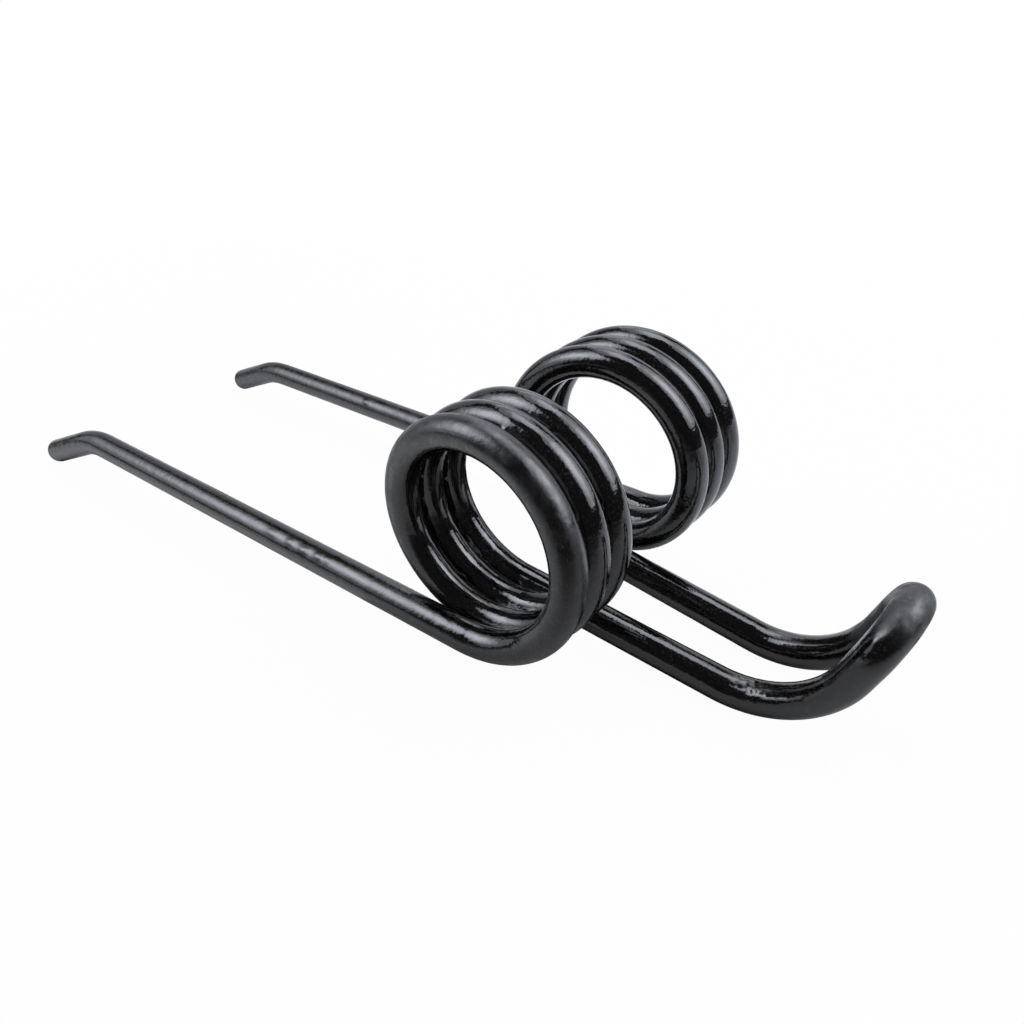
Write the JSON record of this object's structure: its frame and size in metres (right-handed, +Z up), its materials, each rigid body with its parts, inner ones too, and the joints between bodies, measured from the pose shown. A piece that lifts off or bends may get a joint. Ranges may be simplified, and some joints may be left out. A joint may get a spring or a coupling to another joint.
{
  "type": "torsion spring",
  "caption": "Torsion spring wound from black painted round wire: paired coils of opposite hand, long straight arms with bent-down tips, and legs joined by an upturned bow.",
  "frame": {"origin": "on the axis of the coils, midway between them; the floor that the spring lies on is 44.5 mm below it", "axes": "+X from the coils towards the bow, with the arms and their tips on the -X side; +Y along the axis of the coils; +Z up, as the spring lies on its tips and heels"},
  "size_m": [0.3432, 0.1076, 0.0805],
  "materials": {
    "black_paint": "gloss black paint on spring steel wire"
  },
  "bodies": {
    "root": {"spring_wire": "black_paint"}
  },
  "joints": []
}
